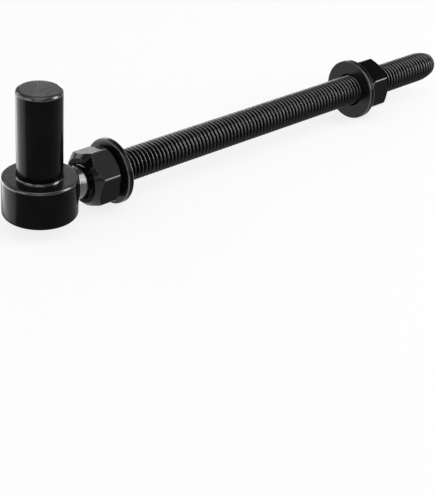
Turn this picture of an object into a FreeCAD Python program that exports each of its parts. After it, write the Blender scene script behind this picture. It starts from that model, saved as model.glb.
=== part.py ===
import FreeCAD, Part
import os
import re
import Sketcher

# Adjustable gate hinge: an upright gudgeon pin on a round collar, carried by a long threaded rod.
# The rod goes through the gate post between two washers, and two nuts set how far the pin stands off.
# Frame: +Z up along the pin, +X along the rod, origin on the pin's axis at the collar's top face.

doc = FreeCAD.newDocument("gate_hinge")

# Driving sizes, in millimetres and degrees
SIZES = {
    # upright pin that the gate's strap turns on, with a shoulder let into the collar and a pressed spigot
    "pin_diameter": 16.0,
    "pin_height": 32.0,
    "pin_edge_radius": 1.2,
    "pin_foot_flare": 0.4,
    "pin_seat_depth": 0.6,
    "spigot_diameter": 13.0,
    "spigot_chamfer": 0.6,
    # round collar that carries the pin and the rod
    "collar_diameter": 26.5,
    "collar_height": 14.5,
    "collar_top_bevel": 0.6,
    "collar_bottom_bevel": 1.0,
    # threaded rod: stub inside the collar, plain neck, thread at its major diameter, rounded tip
    "stub_diameter": 9.0,
    "stub_clearance": 0.2,
    "neck_diameter": 12.0,
    "neck_length": 4.0,
    "weld_radius": 1.2,
    "thread_diameter": 11.9,
    "thread_clearance": 0.05,
    "tail_length": 35.2,
    "tip_length": 9.0,
    "tip_diameter": 8.4,
    "tip_bevel": 0.5,
    # two like nuts
    "nut_across_flats": 19.0,
    "nut_height": 12.0,
    "nut_face_diameter": 16.4,
    "nut_chamfer_angle": 45.0,
    "nut_mouth_depth": 0.6,
    "inner_nut_gap": 4.35,
    "inner_nut_turn": 12.0,
    "outer_nut_turn": -1.1,
    # two like washers, and the room that the post takes between them
    "washer_diameter": 24.0,
    "washer_bore": 13.0,
    "washer_thickness": 2.5,
    "washer_bevel": 0.3,
    "post_room": 123.7,
}

# Sizes and places worked out from the driving ones
DERIVED = {
    "rod_level": "-collar_height / 2",
    "thread_start": "collar_diameter / 2 + neck_length",
    "inner_nut_start": "collar_diameter / 2 + inner_nut_gap",
    "inner_washer_start": "inner_nut_start + nut_height",
    "outer_washer_start": "inner_washer_start + washer_thickness + post_room",
    "outer_nut_start": "outer_washer_start + washer_thickness",
    "rod_reach": "outer_nut_start + nut_height + tail_length",
    "nut_bore": "thread_diameter + 2 * thread_clearance",
    "nut_corner_diameter": "nut_across_flats / cos(30 deg)",
}

sheet = doc.addObject("Spreadsheet::Sheet", "sizes")
for row, (alias, value) in enumerate([*SIZES.items(), *DERIVED.items()], start=1):
    sheet.set(f"A{row}", alias)
    sheet.set(f"B{row}", f"={value}" if alias in DERIVED else str(value))
    sheet.setAlias(f"B{row}", alias)
doc.recompute()


def value_of(formula):
    """Works out a formula of sheet aliases as a number."""
    return float(sheet.evalExpression(formula))


def tied(formula):
    """Writes a formula of sheet aliases as other objects read it."""
    return re.sub(r"\b(" + "|".join([*SIZES, *DERIVED]) + r")\b", r"sizes.\1", formula)


def new_body(label):
    """Adds an empty body whose label names its file."""
    body = doc.addObject("PartDesign::Body", label)
    body.Label = label
    return body


def new_sketch(body, name, role, turn=0):
    """Adds a sketch on the body's own origin plane of that role, turned in it by some degrees."""
    sketch = body.newObject("Sketcher::SketchObject", name)
    plane = next(item for item in body.Origin.OriginFeatures if item.Role == role)
    sketch.AttachmentSupport = [(plane, "")]
    sketch.MapMode = "FlatFace"
    sketch.AttachmentOffset.Rotation = FreeCAD.Rotation(FreeCAD.Vector(0, 0, 1), turn)
    return sketch


def bind(sketch, kind, places, formula):
    """Adds a dimension to the sketch and ties it to a formula."""
    number = sketch.addConstraint(Sketcher.Constraint(kind, *places, value_of(formula)))
    sketch.setExpression(f"Constraints[{number}]", tied(formula))


def place_point(sketch, geometry, point, across, up):
    """Ties a point of the sketch to its distances from the sketch's origin."""
    bind(sketch, "DistanceX", (-1, 1, geometry, point), across)
    bind(sketch, "DistanceY", (-1, 1, geometry, point), up)


def draw_circle(sketch, formula, up="0"):
    """Draws a circle of that diameter above the sketch's origin."""
    centre = FreeCAD.Vector(0, value_of(up), 0)
    radius = value_of(formula) / 2
    number = sketch.addGeometry(Part.Circle(centre, FreeCAD.Vector(0, 0, 1), radius))
    if value_of(up):
        sketch.addConstraint(Sketcher.Constraint("PointOnObject", number, 3, -2))
        bind(sketch, "DistanceY", (-1, 1, number, 3), up)
    else:
        sketch.addConstraint(Sketcher.Constraint("Coincident", number, 3, -1, 1))
    bind(sketch, "Diameter", (number,), formula)


def level_arc(start, end):
    """Makes an arc that leaves its start level and falls away to its end."""
    drop, run = start.y - end.y, end.x - start.x
    radius = (drop**2 + run**2) / (2 * drop)
    centre = FreeCAD.Vector(start.x, start.y - radius, 0)
    towards_middle = (start + end) / 2 - centre
    towards_middle.normalize()
    return Part.Arc(start, centre + towards_middle * radius, end)


def draw_outline(sketch, corners, arc_from=None):
    """Draws a closed outline through corners given as pairs of formulas, with straight sides.

    The side that leaves the corner arc_from is an arc that starts level.
    """
    points = [FreeCAD.Vector(value_of(across), value_of(up), 0) for across, up in corners]
    sides = []
    for corner, start, end in zip(corners, points, points[1:] + points[:1]):
        # each side is kept with its point codes at this corner and the next: an arc is stored end first
        if corner == arc_from:
            sides.append((sketch.addGeometry(level_arc(start, end)), 2, 1))
        else:
            sides.append((sketch.addGeometry(Part.LineSegment(start, end)), 1, 2))
    for (side, _, last), (following, first, _) in zip(sides, sides[1:] + sides[:1]):
        sketch.addConstraint(Sketcher.Constraint("Coincident", side, last, following, first))
    for (side, first, _), (across, up) in zip(sides, corners):
        place_point(sketch, side, first, across, up)
        if (across, up) == arc_from:
            bind(sketch, "DistanceX", (-1, 1, side, 3), across)


def revolve(body, sketch, name, axis, kind="PartDesign::Revolution"):
    """Turns the sketch all the way round one of its own axes."""
    feature = body.newObject(kind, name)
    feature.Profile = sketch
    feature.ReferenceAxis = (sketch, [axis])
    feature.Angle = 360
    return feature


def extrude(body, sketch, name, formula, kind="PartDesign::Pad", reverse=False, both_ways=False):
    """Pads or pockets the sketch by a length, along its normal, against it or half each way."""
    feature = body.newObject(kind, name)
    feature.Profile = sketch
    feature.Length = value_of(formula)
    feature.setExpression("Length", tied(formula))
    feature.Reversed = reverse
    feature.Midplane = both_ways
    return feature


def edges_where(feature, test):
    """Names the feature's edges whose points all pass a test."""
    doc.recompute()
    named = enumerate(feature.Shape.Edges, start=1)
    return [f"Edge{number}" for number, edge in named if all(test(p) for p in edge.discretize(9))]


def near(value, formula):
    """Tells whether a length is the same as a formula's."""
    return abs(value - value_of(formula)) < 0.01


def round_edges(body, name, base, test, formula):
    """Rounds the edges of a feature that pass the test."""
    feature = body.newObject("PartDesign::Fillet", name)
    feature.Base = (base, edges_where(base, test))
    feature.Radius = value_of(formula)
    feature.setExpression("Radius", tied(formula))
    return feature


def bevel_edges(body, name, base, test, formula):
    """Bevels the edges of a feature that pass the test, at 45 degrees."""
    feature = body.newObject("PartDesign::Chamfer", name)
    feature.Base = (base, edges_where(base, test))
    feature.Size = value_of(formula)
    feature.setExpression("Size", tied(formula))
    return feature


def from_pin_axis(point):
    """Distance of a point from the upright axis."""
    return (point.x**2 + point.y**2) ** 0.5


def from_rod_axis(point):
    """Distance of a point from a body's own lengthwise axis."""
    return (point.y**2 + point.z**2) ** 0.5


# Gudgeon pin: turned in one piece, its shoulder let into the collar's top and its spigot in the collar's bore
def make_pin():
    body = new_body("gudgeon_pin")
    profile = new_sketch(body, "pin_profile", "XZ_Plane")
    draw_outline(
        profile,
        [
            ("0", "pin_height"),
            ("pin_diameter / 2", "pin_height"),
            ("pin_diameter / 2", "pin_foot_flare"),
            ("pin_diameter / 2 + pin_foot_flare", "0"),
            ("pin_diameter / 2 + pin_foot_flare", "-pin_seat_depth"),
            ("spigot_diameter / 2", "-pin_seat_depth"),
            ("spigot_diameter / 2", "-collar_height + spigot_chamfer"),
            ("spigot_diameter / 2 - spigot_chamfer", "-collar_height"),
            ("0", "-collar_height"),
        ],
    )
    turned = revolve(body, profile, "pin_turned", "V_Axis")
    round_edges(body, "pin_top_edge", turned, is_pin_rim, "pin_edge_radius")
    return body


def is_pin_rim(point):
    """Tells whether a point is on the pin's top edge."""
    return near(point.z, "pin_height") and near(from_pin_axis(point), "pin_diameter / 2")


# Collar: a turned ring with a shallow seat for the pin's shoulder and a side hole for the rod's stub
def make_collar():
    body = new_body("collar")
    profile = new_sketch(body, "collar_profile", "XZ_Plane")
    draw_outline(
        profile,
        [
            ("pin_diameter / 2 + pin_foot_flare", "0"),
            ("collar_diameter / 2 - collar_top_bevel", "0"),
            ("collar_diameter / 2", "-collar_top_bevel"),
            ("collar_diameter / 2", "-collar_height + collar_bottom_bevel"),
            ("collar_diameter / 2 - collar_bottom_bevel", "-collar_height"),
            ("spigot_diameter / 2", "-collar_height"),
            ("spigot_diameter / 2", "-pin_seat_depth"),
            ("pin_diameter / 2 + pin_foot_flare", "-pin_seat_depth"),
        ],
    )
    ring = revolve(body, profile, "collar_ring", "V_Axis")
    doc.recompute()
    ring_volume = ring.Shape.Volume
    hole = new_sketch(body, "side_hole_circle", "YZ_Plane")
    draw_circle(hole, "stub_diameter", up="rod_level")
    extrude(body, hole, "side_hole", "collar_diameter", "PartDesign::Pocket", reverse=True)
    doc.recompute()
    if not body.Shape.Volume < ring_volume:
        raise RuntimeError("the collar's side hole cut nothing")
    return body


# Threaded rod: turned along its own axis, coped to the collar with a weld bead, and lifted to its level
def make_rod():
    body = new_body("threaded_rod")
    profile = new_sketch(body, "rod_profile", "XZ_Plane")
    thread_end = ("rod_reach - tip_length", "thread_diameter / 2")
    draw_outline(
        profile,
        [
            ("0", "0"),
            ("0", "neck_diameter / 2"),
            ("thread_start", "neck_diameter / 2"),
            ("thread_start + neck_diameter / 2 - thread_diameter / 2", "thread_diameter / 2"),
            thread_end,
            ("rod_reach - tip_bevel", "tip_diameter / 2"),
            ("rod_reach", "tip_diameter / 2 - tip_bevel"),
            ("rod_reach", "0"),
        ],
        arc_from=thread_end,
    )
    revolve(body, profile, "rod_turned", "H_Axis")

    # A solid of the collar's outline stands in while the bead is rounded, and is then cut away again
    # Half a turn takes its seam to the far side, clear of the bead
    outline = new_sketch(body, "collar_outline", "XY_Plane", turn=180)
    draw_circle(outline, "collar_diameter")
    stand_in_height = "neck_diameter + 4 * weld_radius"
    joined = extrude(body, outline, "collar_stand_in", stand_in_height, both_ways=True)
    bead = round_edges(body, "weld_bead", joined, is_neck_joint, "weld_radius")
    doc.recompute()
    joined_volume = bead.Shape.Volume
    cut = new_sketch(body, "cope_circle", "XY_Plane", turn=180)
    draw_circle(cut, "collar_diameter")
    extrude(body, cut, "cope", f"2 * ({stand_in_height})", "PartDesign::Pocket", both_ways=True)
    doc.recompute()
    if not body.Shape.Volume < joined_volume:
        raise RuntimeError("the rod's end was not coped")

    # The stub fills the collar's side hole up to the pin's spigot
    stub = new_sketch(body, "stub_circle", "YZ_Plane")
    stub.setExpression("AttachmentOffset.Base.z", tied("spigot_diameter / 2 + stub_clearance"))
    draw_circle(stub, "stub_diameter")
    extrude(body, stub, "stub", "thread_start - spigot_diameter / 2 - stub_clearance")
    body.setExpression("Placement.Base.z", tied("rod_level"))
    return body


def is_neck_joint(point):
    """Tells whether a point is where the neck meets the collar's outside."""
    on_collar = near(from_pin_axis(point), "collar_diameter / 2")
    return on_collar and near(from_rod_axis(point), "neck_diameter / 2")


# Hexagon nut: both ends cut to a cone, which leaves scalloped edges on the flats, and a bevelled mouth at each
def make_nut(label, start, turn):
    body = new_body(label)
    hexagon = new_sketch(body, f"{label}_hexagon", "YZ_Plane")
    draw_hexagon(hexagon, "nut_corner_diameter")
    blank = extrude(body, hexagon, f"{label}_blank", "nut_height")
    doc.recompute()
    blank_volume = blank.Shape.Volume
    cones = new_sketch(body, f"{label}_cone_profile", "XZ_Plane")
    rise = "(nut_corner_diameter - nut_face_diameter / 2) * tan(nut_chamfer_angle * 1 deg)"
    draw_outline(
        cones,
        [("0", "nut_face_diameter / 2"), ("0", "nut_corner_diameter"), (rise, "nut_corner_diameter")],
    )
    draw_outline(
        cones,
        [
            ("nut_height", "nut_face_diameter / 2"),
            ("nut_height", "nut_corner_diameter"),
            (f"nut_height - {rise}", "nut_corner_diameter"),
        ],
    )
    revolve(body, cones, f"{label}_cones", "H_Axis", "PartDesign::Groove")
    bore = new_sketch(body, f"{label}_bore_circle", "YZ_Plane")
    draw_circle(bore, "nut_bore")
    drilled = extrude(body, bore, f"{label}_bore", "nut_height", "PartDesign::Pocket", reverse=True)
    bevel_edges(body, f"{label}_mouths", drilled, is_nut_mouth, "nut_mouth_depth")
    doc.recompute()
    if not body.Shape.Volume < blank_volume:
        raise RuntimeError(f"{label} was not cut")
    set_on_rod(body, start, turn)
    return body


def draw_hexagon(sketch, formula):
    """Draws a hexagon with one corner up, its corners on a construction circle."""
    radius = value_of(formula) / 2
    circle = sketch.addGeometry(Part.Circle(FreeCAD.Vector(), FreeCAD.Vector(0, 0, 1), radius), True)
    sketch.addConstraint(Sketcher.Constraint("Coincident", circle, 3, -1, 1))
    bind(sketch, "Diameter", (circle,), formula)
    turn = FreeCAD.Rotation(FreeCAD.Vector(0, 0, 1), 60)
    corner = FreeCAD.Vector(0, radius, 0)
    sides = []
    for _ in range(6):
        following = turn.multVec(corner)
        sides.append(sketch.addGeometry(Part.LineSegment(corner, following)))
        corner = following
    for side, following in zip(sides, sides[1:] + sides[:1]):
        sketch.addConstraint(Sketcher.Constraint("Coincident", side, 2, following, 1))
        sketch.addConstraint(Sketcher.Constraint("PointOnObject", side, 1, circle))
    for side in sides[1:]:
        sketch.addConstraint(Sketcher.Constraint("Equal", sides[0], side))
    sketch.addConstraint(Sketcher.Constraint("PointOnObject", sides[0], 1, -2))


def is_nut_mouth(point):
    """Tells whether a point is on either end of the bore."""
    return near(from_rod_axis(point), "nut_bore / 2")


# Flat washer: a punched ring with a bevel round its outside at both faces
def make_washer(label, start):
    body = new_body(label)
    ring = new_sketch(body, f"{label}_ring", "YZ_Plane")
    draw_circle(ring, "washer_diameter")
    draw_circle(ring, "washer_bore")
    plate = extrude(body, ring, f"{label}_plate", "washer_thickness")
    bevel_edges(body, f"{label}_rim", plate, is_washer_rim, "washer_bevel")
    set_on_rod(body, start, "0")
    return body


def is_washer_rim(point):
    """Tells whether a point is on either outer edge of the plate."""
    return near(from_rod_axis(point), "washer_diameter / 2")


def set_on_rod(body, start, turn):
    """Puts a body on the rod's axis at its place and turn."""
    body.Placement.Rotation = FreeCAD.Rotation(FreeCAD.Vector(1, 0, 0), 1)
    body.setExpression("Placement.Base.x", tied(start))
    body.setExpression("Placement.Base.z", tied("rod_level"))
    body.setExpression("Placement.Rotation.Axis.x", "1")
    body.setExpression("Placement.Rotation.Angle", tied(turn))


bodies = [
    make_pin(),
    make_collar(),
    make_rod(),
    make_nut("inner_nut", "inner_nut_start", "inner_nut_turn"),
    make_washer("inner_washer", "inner_washer_start"),
    make_washer("outer_washer", "outer_washer_start"),
    make_nut("outer_nut", "outer_nut_start", "outer_nut_turn"),
]
doc.recompute()

# Every object and every solid is checked before anything is written
for item in doc.Objects:
    if "Invalid" in item.State or "Error" in item.State:
        raise RuntimeError(f"{item.Label} failed to build")
for body in bodies:
    if body.Shape.isNull() or not body.Shape.isValid() or len(body.Shape.Solids) != 1:
        raise RuntimeError(f"{body.Label} is not one valid solid")

os.makedirs("parts", exist_ok=True)
for body in bodies:
    body.Shape.exportStep(f"parts/{body.Label}.step")
    box = body.Shape.BoundBox
    print(
        f"{body.Label}: {body.Shape.Volume:.1f} mm3,"
        f" x {box.XMin:.2f} to {box.XMax:.2f}, y {box.YMin:.2f} to {box.YMax:.2f},"
        f" z {box.ZMin:.2f} to {box.ZMax:.2f}"
    )
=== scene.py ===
"""Looks of the adjustable gate hinge: an upright pin on a round collar, carried by a threaded rod with
two nuts and two washers. Lengths are given in millimetres and angles in degrees, in the row's frame."""

import logging
import math
from dataclasses import dataclass
from enum import Enum
from functools import reduce
from typing import Callable, Sequence

import bmesh
import bpy
from mathutils import Matrix, Vector


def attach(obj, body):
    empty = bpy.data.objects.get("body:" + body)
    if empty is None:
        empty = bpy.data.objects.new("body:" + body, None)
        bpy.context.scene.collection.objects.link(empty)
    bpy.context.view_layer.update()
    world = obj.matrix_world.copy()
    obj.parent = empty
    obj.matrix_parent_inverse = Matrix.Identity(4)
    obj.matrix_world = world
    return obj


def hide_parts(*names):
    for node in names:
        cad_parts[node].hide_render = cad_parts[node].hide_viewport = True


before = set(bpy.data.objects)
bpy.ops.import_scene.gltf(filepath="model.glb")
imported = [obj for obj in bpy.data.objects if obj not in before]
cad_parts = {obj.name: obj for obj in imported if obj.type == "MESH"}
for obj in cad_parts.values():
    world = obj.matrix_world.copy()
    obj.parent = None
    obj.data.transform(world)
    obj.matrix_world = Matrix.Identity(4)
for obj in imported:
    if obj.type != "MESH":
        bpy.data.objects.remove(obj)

Piece = bpy.types.Object
Tree = bpy.types.NodeTree
Node = bpy.types.Node
Socket = bpy.types.NodeSocket
PairTest = Callable[[Vector, Vector], bool]

logging.basicConfig(level=logging.INFO, format="%(message)s")
log = logging.getLogger("gate_hinge")

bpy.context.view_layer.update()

# One millimetre, and the distances for cutting and merging points, in metres
MM = 0.001
TINY = 1e-7
MERGED = 5e-7
SEAM_MERGED = 2e-6

# Sizes that more than one piece uses, in millimetres
ROD_LEVEL = -7.25
COLLAR_RADIUS = 13.25
TIP_START = 196.5
TIP_REACH = 10.0
TIP_DRAWN_IN = 1.9
NEAR = 0.02


class Axis(Enum):
    """The hinge's two centre lines."""

    PIN = "Z"
    ROD = "X"

    @property
    def direction(self) -> Vector:
        """The unit vector along the centre line."""
        return Vector((0.0, 0.0, 1.0)) if self is Axis.PIN else Vector((1.0, 0.0, 0.0))

    @property
    def tilt(self) -> tuple[float, float, float]:
        """The turn that stands a flat circle square to the centre line."""
        return (0.0, 0.0, 0.0) if self is Axis.PIN else (0.0, math.pi / 2, 0.0)

    def place(self, along: float) -> Vector:
        """The point at that distance along the centre line, in metres."""
        level = 0.0 if self is Axis.PIN else ROD_LEVEL
        return self.direction * (along * MM) + Vector((0.0, 0.0, level * MM))

    def scale(self, factor: float) -> tuple[float, float, float]:
        """A scale that grows a ring and leaves its place along the centre line."""
        return (factor, factor, 1.0) if self is Axis.PIN else (1.0, factor, factor)

    def radius(self, point: Vector) -> float:
        """How far a point lies from the centre line.

        Args:
            point: The point in metres.

        Returns:
            The distance in millimetres.
        """
        if self is Axis.PIN:
            return math.hypot(point.x, point.y) / MM
        return math.hypot(point.y, point.z - ROD_LEVEL * MM) / MM

    def along(self, point: Vector) -> float:
        """The point's distance along the centre line, in millimetres."""
        return (point.z if self is Axis.PIN else point.x) / MM


class Bench:
    """Hand tools that every piece is made with."""

    @staticmethod
    def clear() -> None:
        """Leaves edit mode and deselects everything."""
        if bpy.context.object and bpy.context.object.mode != "OBJECT":
            bpy.ops.object.mode_set(mode="OBJECT")
        bpy.ops.object.select_all(action="DESELECT")

    @staticmethod
    def take(piece: Piece) -> None:
        """Selects one piece alone and makes it the active one.

        Args:
            piece: The piece to work on.
        """
        Bench.clear()
        piece.select_set(True)
        bpy.context.view_layer.objects.active = piece

    @staticmethod
    def open(piece: Piece) -> None:
        """Takes a piece and opens it for editing."""
        Bench.take(piece)
        bpy.ops.object.mode_set(mode="EDIT")

    @staticmethod
    def shut() -> None:
        """Ends the editing of the piece in hand."""
        bpy.ops.object.mode_set(mode="OBJECT")

    @staticmethod
    def settle() -> None:
        """Moves the place, turn and scale of the piece in hand into its mesh."""
        bpy.ops.object.transform_apply(location=True, rotation=True, scale=True)

    @staticmethod
    def name(piece: Piece, name: str) -> Piece:
        """Names a piece and its mesh.

        Args:
            piece: The piece.
            name: Its new name.

        Returns:
            The same piece.
        """
        piece.name = name
        piece.data.name = name
        return piece

    @staticmethod
    def pick_vertices(piece: Piece, test: Callable[[Vector], bool]) -> int:
        """Selects the vertices that stand where the test says. The piece is in edit mode.

        Args:
            piece: The piece in edit mode.
            test: Says whether a point is picked.

        Returns:
            How many were picked.
        """
        bpy.ops.mesh.select_mode(type="VERT")
        bpy.ops.mesh.select_all(action="DESELECT")
        mesh = bmesh.from_edit_mesh(piece.data)
        place = piece.matrix_world
        picked = [vertex for vertex in mesh.verts if test(place @ vertex.co)]
        for vertex in picked:
            vertex.select = True
        mesh.select_flush_mode()
        bmesh.update_edit_mesh(piece.data)
        return len(picked)

    @staticmethod
    def pick_edges(piece: Piece, test: PairTest) -> int:
        """Selects the edges whose two ends the test accepts. The piece is in edit mode.

        Args:
            piece: The piece in edit mode.
            test: Says whether an edge between two points is picked.

        Returns:
            How many were picked.
        """
        bpy.ops.mesh.select_mode(type="EDGE")
        bpy.ops.mesh.select_all(action="DESELECT")
        mesh = bmesh.from_edit_mesh(piece.data)
        place = piece.matrix_world
        picked = [edge for edge in mesh.edges if test(place @ edge.verts[0].co, place @ edge.verts[1].co)]
        for edge in picked:
            edge.select = True
        mesh.select_flush_mode()
        bmesh.update_edit_mesh(piece.data)
        return len(picked)

    @staticmethod
    def bevel(radius: float, segments: int) -> None:
        """Rounds the edges that are picked.

        Args:
            radius: How far the rounding reaches from the edge.
            segments: How many faces make the rounding.
        """
        bpy.ops.mesh.bevel(offset=radius * MM, offset_type="OFFSET", segments=segments, profile=0.5,
                           affect="EDGES", clamp_overlap=True)

    @staticmethod
    def round_edges(piece: Piece, test: PairTest, radius: float, segments: int) -> None:
        """Rounds the edges that the test accepts.

        Args:
            piece: The piece in edit mode.
            test: Says whether an edge between two points is rounded.
            radius: How far the rounding reaches from the edge.
            segments: How many faces make the rounding.
        """
        if not Bench.pick_edges(piece, test):
            raise ValueError(f"{piece.name}: no edge to round")
        Bench.bevel(radius, segments)

    @staticmethod
    def combine(piece: Piece, other: Piece, how: str) -> None:
        """Joins, cuts or keeps the share of two closed pieces, then puts the second one away.

        Args:
            piece: The piece that stays.
            other: The piece it is combined with.
            how: UNION, DIFFERENCE or INTERSECT.
        """
        Bench.take(piece)
        step = piece.modifiers.new("combine", "BOOLEAN")
        step.operation = how
        step.solver = "EXACT"
        step.object = other
        bpy.ops.object.modifier_apply(modifier=step.name)
        Bench.discard(other)

    @staticmethod
    def discard(piece: Piece) -> None:
        """Deletes a piece that was only a tool.

        Args:
            piece: The piece to delete.
        """
        Bench.take(piece)
        bpy.ops.object.delete()

    @staticmethod
    def close(piece: Piece) -> None:
        """Merges doubles, closes open ends and points the faces outwards. The piece is in edit mode.

        Args:
            piece: The piece in edit mode.
        """
        bpy.ops.mesh.select_mode(type="VERT")
        bpy.ops.mesh.select_all(action="SELECT")
        bpy.ops.mesh.remove_doubles(threshold=MERGED)
        bpy.ops.mesh.select_all(action="SELECT")
        bpy.ops.mesh.fill_holes(sides=0)
        bpy.ops.mesh.select_all(action="SELECT")
        bpy.ops.mesh.normals_make_consistent(inside=False)

    @staticmethod
    def finish(piece: Piece, angle: float = 32.0) -> None:
        """Applies the piece's place, smooths its round faces and keeps its flat ones flat.

        Args:
            piece: The finished piece.
            angle: Edges sharper than this stay crisp.
        """
        Bench.take(piece)
        Bench.settle()
        bpy.ops.object.mode_set(mode="EDIT")
        bpy.ops.mesh.select_all(action="SELECT")
        bpy.ops.mesh.remove_doubles(threshold=MERGED)
        bpy.ops.mesh.normals_make_consistent(inside=False)
        Bench.shut()
        bpy.ops.object.shade_smooth_by_angle(angle=math.radians(angle))
        weigh = piece.modifiers.new("weigh", "WEIGHTED_NORMAL")
        weigh.keep_sharp = True
        bpy.ops.object.modifier_apply(modifier=weigh.name)


class Lathe:
    """Turns a round piece from its outline, ring by ring."""

    @staticmethod
    def turn(name: str, axis: Axis, outline: Sequence[tuple[float, float]], segments: int,
             hollow: bool = False) -> Piece:
        """Makes a round piece and leaves it in edit mode.

        Args:
            name: The piece's name.
            axis: The centre line it is turned about.
            outline: Rings as (distance along the centre line, radius).
            segments: How many sides the rings have.
            hollow: True for a ring, whose outline closes on itself.

        Returns:
            The piece, in edit mode.
        """
        Bench.clear()
        along, radius = outline[0]
        bpy.ops.mesh.primitive_circle_add(vertices=segments, radius=radius * MM, fill_type="NOTHING",
                                          location=axis.place(along), rotation=axis.tilt)
        piece = Bench.name(bpy.context.object, name)
        bpy.ops.object.mode_set(mode="EDIT")
        bpy.ops.mesh.select_mode(type="EDGE")
        bpy.ops.mesh.select_all(action="SELECT")
        rings = list(outline[1:]) + ([outline[0]] if hollow else [])
        for next_along, next_radius in rings:
            step = axis.direction * ((next_along - along) * MM)
            bpy.ops.mesh.extrude_edges_move(TRANSFORM_OT_translate={"value": step})
            if abs(next_radius - radius) > TINY:
                bpy.ops.transform.resize(value=axis.scale(next_radius / radius),
                                         center_override=axis.place(next_along))
            along, radius = next_along, next_radius
        Bench.close(piece)
        return piece

    @staticmethod
    def ring_at(axis: Axis, along: float, radius: float) -> PairTest:
        """A test that picks the edges of one ring.

        Args:
            axis: The ring's centre line.
            along: Its distance along the centre line.
            radius: Its radius.

        Returns:
            The test for Bench.round_edges.
        """

        def on_ring(point: Vector) -> bool:
            """True where the point lies on the ring."""
            return abs(axis.along(point) - along) < NEAR and abs(axis.radius(point) - radius) < NEAR

        def test(start: Vector, end: Vector) -> bool:
            """True where both ends of the edge lie on the ring."""
            return on_ring(start) and on_ring(end)

        return test


@dataclass(frozen=True)
class Thread:
    """The M12 right-hand thread that the rod and the nuts share.

    The rise goes from the rounded root up the flank to the rounded crest, half a pitch further on. Each
    of its points is (distance along the rod, radius)."""

    pitch: float = 1.75
    start: float = 12.0
    steps: int = 54
    spare_turns: int = 2
    rise: tuple[tuple[float, float], ...] = (
        (0.0, 4.93), (0.11, 4.95), (0.219, 5.03), (0.44, 5.435), (0.659, 5.835), (0.732, 5.915),
        (0.81, 5.951), (0.875, 5.96))

    @property
    def crest(self) -> float:
        """The radius of the thread's crest."""
        return self.rise[-1][1]

    @property
    def outline(self) -> list[tuple[float, float]]:
        """One whole pitch: the rise, then its mirror image down to the next root."""
        return [*self.rise, *((self.pitch - along, radius) for along, radius in reversed(self.rise[:-1]))]

    def body(self, name: str, first: float, last: float, growth: float = 0.0) -> Piece:
        """Winds a closed threaded bar between two flat cuts.

        Args:
            name: The bar's name.
            first: Where it starts along the rod.
            last: Where it ends along the rod.
            growth: Added to every radius, for the clearance of a nut.

        Returns:
            The bar, in object mode.
        """
        outline = self.outline
        lead = math.floor((first - self.start) / self.pitch) - self.spare_turns
        turns = math.ceil((last - first) / self.pitch) + 2 * self.spare_turns
        origin = self.start + lead * self.pitch
        Bench.clear()
        bpy.ops.mesh.primitive_plane_add(size=MM, location=Axis.ROD.place(origin))
        bar = Bench.name(bpy.context.object, name)
        bpy.ops.object.mode_set(mode="EDIT")
        bpy.ops.mesh.select_mode(type="VERT")
        bpy.ops.mesh.select_all(action="SELECT")
        bpy.ops.mesh.merge(type="CENTER")
        bpy.ops.transform.translate(value=(0.0, 0.0, (outline[0][1] + growth) * MM))
        for (along, radius), (next_along, next_radius) in zip(outline, outline[1:]):
            step = Vector(((next_along - along) * MM, 0.0, (next_radius - radius) * MM))
            bpy.ops.mesh.extrude_vertices_move(TRANSFORM_OT_translate={"value": step})
        Bench.shut()
        winding = bar.modifiers.new("winding", "SCREW")
        winding.axis = "X"
        winding.angle = 2 * math.pi
        winding.screw_offset = self.pitch * MM
        winding.iterations = turns
        winding.steps = self.steps
        winding.render_steps = self.steps
        bpy.ops.object.modifier_apply(modifier=winding.name)
        bpy.ops.object.mode_set(mode="EDIT")
        bpy.ops.mesh.select_all(action="SELECT")
        bpy.ops.mesh.remove_doubles(threshold=SEAM_MERGED)
        for cut, side in ((first, 1.0), (last, -1.0)):
            bpy.ops.mesh.select_all(action="SELECT")
            bpy.ops.mesh.bisect(plane_co=Axis.ROD.place(cut), plane_no=(side, 0.0, 0.0), use_fill=True,
                                clear_inner=True, threshold=TINY)
        Bench.close(bar)
        Bench.shut()
        return bar


class Marks(Enum):
    """What the making left on a surface."""

    NONE = "none"
    TURNED = "turned"
    FACED = "faced"
    BRUSHED = "brushed"


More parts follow.
